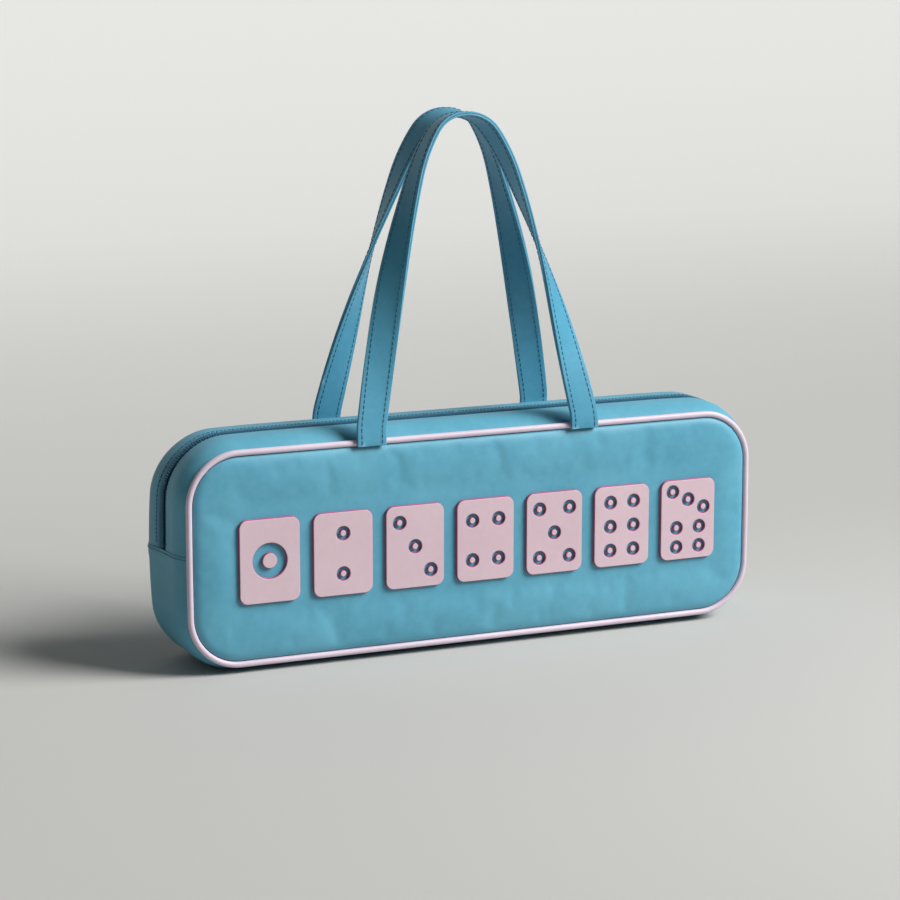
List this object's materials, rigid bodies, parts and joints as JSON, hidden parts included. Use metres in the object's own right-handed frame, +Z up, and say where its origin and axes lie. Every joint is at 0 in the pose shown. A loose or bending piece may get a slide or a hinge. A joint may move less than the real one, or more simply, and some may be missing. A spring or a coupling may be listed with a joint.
{
  "type": "mahjong case",
  "caption": "Soft zip-top carrying case for a mahjong set: long padded body with piped edges, two leaning strap handles and a row of raised tile-shaped patches.",
  "frame": {"origin": "centre of the flat base, on the surface the case stands on", "axes": "+X along the length towards the end with the zip pull, +Y from the front panel to the rear panel, +Z up"},
  "size_m": [0.5314, 0.0976, 0.4501],
  "materials": {
    "case_leather": "semi-matt coated leather, fine grain",
    "handle_leather": "semi-matt coated leather, fine grain, edge-painted",
    "piping_leather": "smooth coated leather",
    "patch_face": "smooth, slightly satin",
    "patch_backing": "matt cut edge",
    "lining": "plain woven lining",
    "foam": "open foam, hidden",
    "board": "stiffener sheet, hidden",
    "cord": "extruded filler cord, hidden",
    "binding": "woven binding tape",
    "zip_tape": "woven zip tape",
    "zip_coil": "moulded coil",
    "zip_metal": "colour-matched enamel"
  },
  "bodies": {
    "case": {"base_board": "board", "base_foam": "foam", "base_gusset": "case_leather", "base_lining": "lining", "front_foam": "foam", "front_handle_feet": "handle_leather", "front_lining": "lining", "front_panel": "case_leather", "front_piping": "piping_leather", "front_piping_cord": "cord", "front_seam_binding": "binding", "front_strip_lining_ends": "lining", "front_zip_coil_ends": "zip_coil", "front_zip_strip_ends": "case_leather", "front_zip_tape_ends": "zip_tape", "rear_foam": "foam", "rear_handle_feet": "handle_leather", "rear_lining": "lining", "rear_panel": "case_leather", "rear_piping": "piping_leather", "rear_piping_cord": "cord", "rear_seam_binding": "binding", "rear_strip_lining_ends": "lining", "rear_zip_coil_ends": "zip_coil", "rear_zip_strip_ends": "case_leather", "rear_zip_tape_ends": "zip_tape", "tile_backing_1": "patch_backing", "tile_backing_2": "patch_backing", "tile_backing_3": "patch_backing", "tile_backing_4": "patch_backing", "tile_backing_5": "patch_backing", "tile_backing_6": "patch_backing", "tile_backing_7": "patch_backing", "tile_patch_1": "patch_face", "tile_patch_2": "patch_face", "tile_patch_3": "patch_face", "tile_patch_4": "patch_face", "tile_patch_5": "patch_face", "tile_patch_6": "patch_face", "tile_patch_7": "patch_face", "zip_stops": "zip_coil"},
    "front_flap": {"front_strip_lining_run": "lining", "front_zip_coil_run": "zip_coil", "front_zip_strip_run": "case_leather", "front_zip_tape_run": "zip_tape"},
    "rear_flap": {"rear_strip_lining_run": "lining", "rear_zip_coil_run": "zip_coil", "rear_zip_strip_run": "case_leather", "rear_zip_tape_run": "zip_tape"},
    "front_handle": {"front_handle_outer": "handle_leather", "front_handle_inner": "handle_leather"},
    "rear_handle": {"rear_handle_outer": "handle_leather", "rear_handle_inner": "handle_leather"},
    "slider": {"zip_slider": "zip_metal"},
    "pull": {"zip_pull": "zip_metal"}
  },
  "joints": [
    {"name": "front_flap_fold", "type": "hinge", "parent": "case", "child": "front_flap", "pos_m": [0, -0.042, 0.184], "axis": [1, 0, 0], "range_deg": [0, 55]},
    {"name": "rear_flap_fold", "type": "hinge", "parent": "case", "child": "rear_flap", "pos_m": [0, 0.042, 0.184], "axis": [-1, 0, 0], "range_deg": [0, 55]},
    {"name": "front_handle_swing", "type": "hinge", "parent": "case", "child": "front_handle", "pos_m": [0, -0.0483, 0.188], "axis": [1, 0, 0], "range_deg": [0, 130]},
    {"name": "rear_handle_swing", "type": "hinge", "parent": "case", "child": "rear_handle", "pos_m": [0, 0.0483, 0.188], "axis": [-1, 0, 0], "range_deg": [0, 130]},
    {"name": "zip_slide", "type": "slide", "parent": "case", "child": "slider", "axis": [0, 0, 1], "range_m": [0, 0.024]},
    {"name": "pull_swing", "type": "hinge", "parent": "slider", "child": "pull", "pos_m": [0.2665, 0, 0.1152], "axis": [0, -1, 0], "range_deg": [0, 150]}
  ]
}
